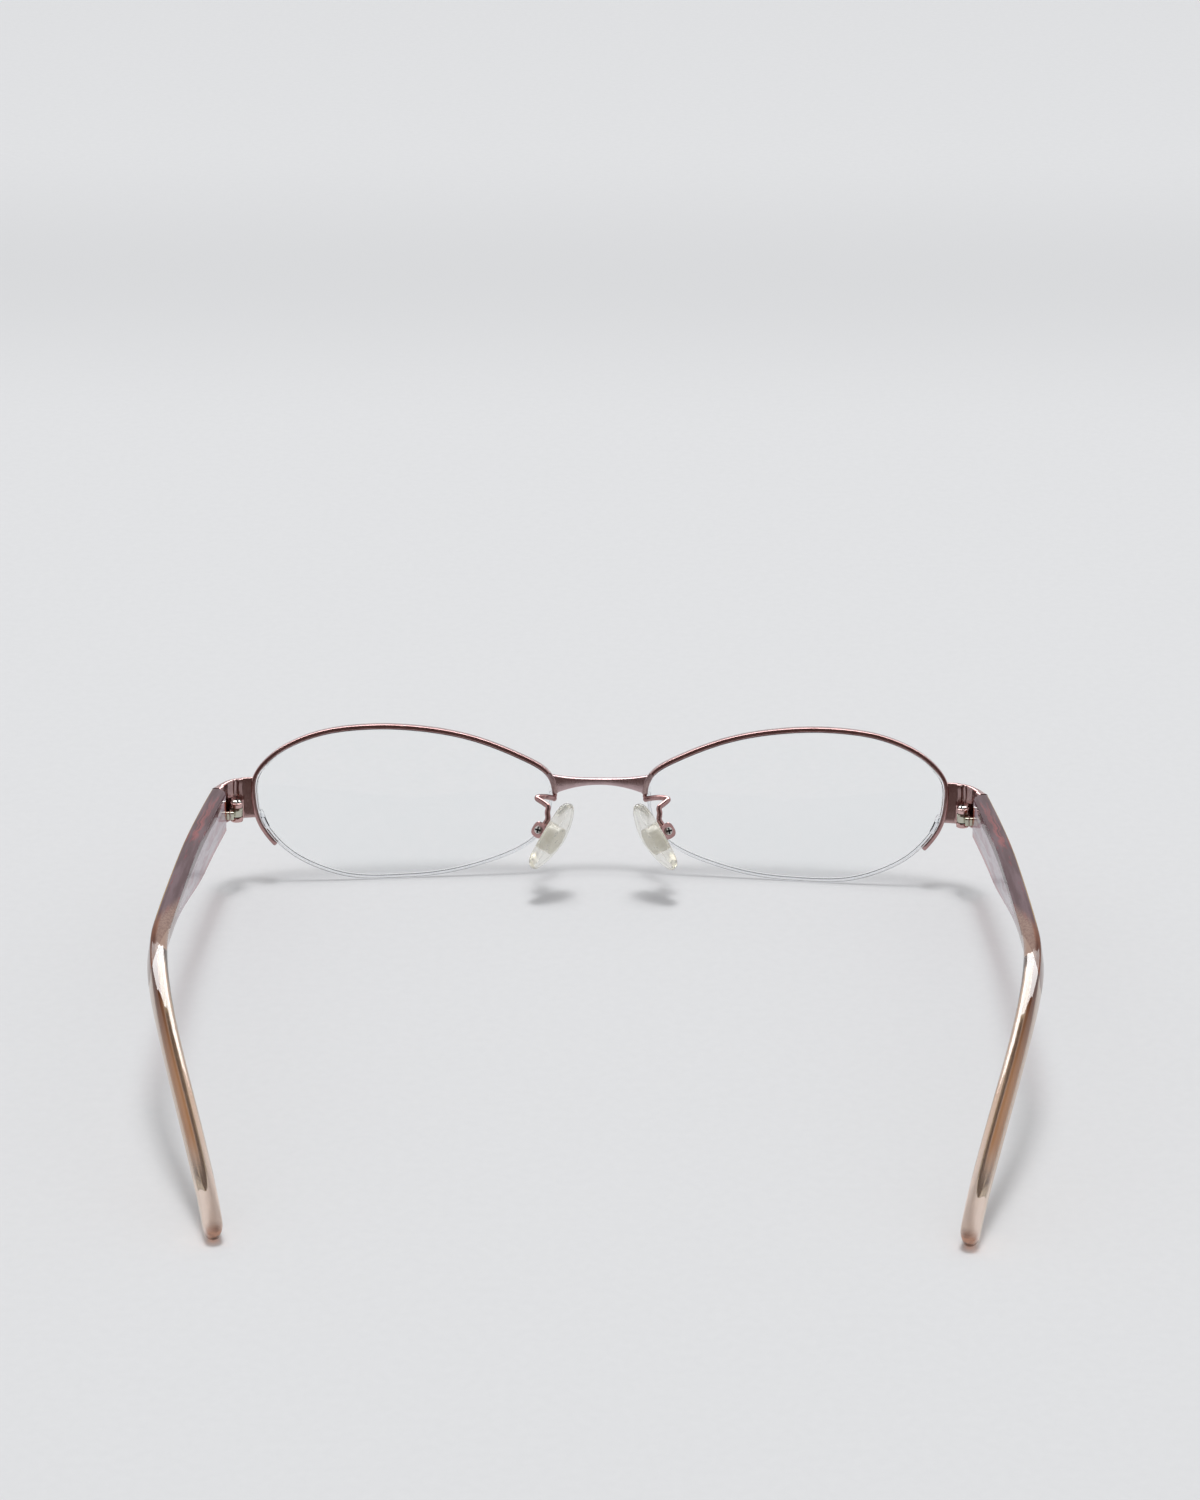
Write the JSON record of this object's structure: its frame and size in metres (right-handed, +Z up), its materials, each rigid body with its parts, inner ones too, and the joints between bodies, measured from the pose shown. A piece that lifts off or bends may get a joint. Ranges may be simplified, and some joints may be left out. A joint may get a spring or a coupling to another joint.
{
  "type": "semi-rimless eyeglasses",
  "caption": "Semi-rimless eyeglasses with clear oval lenses, a mauve metal half rim and bridge, adjustable nose pads, and hinged temples with translucent amber ends.",
  "frame": {"origin": "under the middle of the whole object, on the surface that it stands on", "axes": "+Z up, +Y towards the front of the glasses, +X towards the wearer's right temple"},
  "size_m": [0.1392, 0.1296, 0.0271],
  "materials": {
    "mauve_metal": "satin mauve plating, polished edges",
    "polished_steel": "polished",
    "clear_lens": "clear, polished",
    "clear_nylon": "clear, smooth",
    "clear_pad_plastic": "clear, slightly yellow",
    "mauve_acetate": "polished, finely marbled",
    "amber_acetate": "polished, translucent"
  },
  "bodies": {
    "front": {"bridge": "mauve_metal", "rim_left": "mauve_metal", "rim_liner_left": "clear_nylon", "lens_left": "clear_lens", "nylon_cord_left": "clear_nylon", "endpiece_left": "mauve_metal", "hinge_front_left": "mauve_metal", "hinge_screw_left": "polished_steel", "pad_arm_left": "mauve_metal", "pad_box_left": "mauve_metal", "pad_screw_left": "polished_steel", "rim_right": "mauve_metal", "rim_liner_right": "clear_nylon", "lens_right": "clear_lens", "nylon_cord_right": "clear_nylon", "endpiece_right": "mauve_metal", "hinge_front_right": "mauve_metal", "hinge_screw_right": "polished_steel", "pad_arm_right": "mauve_metal", "pad_box_right": "mauve_metal", "pad_screw_right": "polished_steel"},
    "temple_left": {"temple_left": "mauve_acetate", "temple_tip_left": "amber_acetate", "temple_core_left": "polished_steel", "hinge_temple_left": "polished_steel"},
    "nose_pad_left": {"nose_pad_left": "clear_pad_plastic", "pad_insert_left": "clear_pad_plastic"},
    "temple_right": {"temple_right": "mauve_acetate", "temple_tip_right": "amber_acetate", "temple_core_right": "polished_steel", "hinge_temple_right": "polished_steel"},
    "nose_pad_right": {"nose_pad_right": "clear_pad_plastic", "pad_insert_right": "clear_pad_plastic"}
  },
  "joints": [
    {"name": "left_temple_fold", "type": "hinge", "parent": "front", "child": "temple_left", "pos_m": [-0.0622, 0.05397, 0.01431], "axis": [0, 0.0924, 0.9957], "range_deg": [0, 87]},
    {"name": "right_temple_fold", "type": "hinge", "parent": "front", "child": "temple_right", "pos_m": [0.0622, 0.05397, 0.01431], "axis": [0, -0.0924, -0.9957], "range_deg": [0, 80]},
    {"name": "left_pad_rock", "type": "hinge", "parent": "front", "child": "nose_pad_left", "pos_m": [-0.00997, 0.05361, 0.01129], "axis": [0.4503, 0.7494, -0.4854], "range_deg": [-8, 8]},
    {"name": "right_pad_rock", "type": "hinge", "parent": "front", "child": "nose_pad_right", "pos_m": [0.01137, 0.05361, 0.01129], "axis": [-0.4503, 0.7494, -0.4854], "range_deg": [-8, 8]}
  ]
}
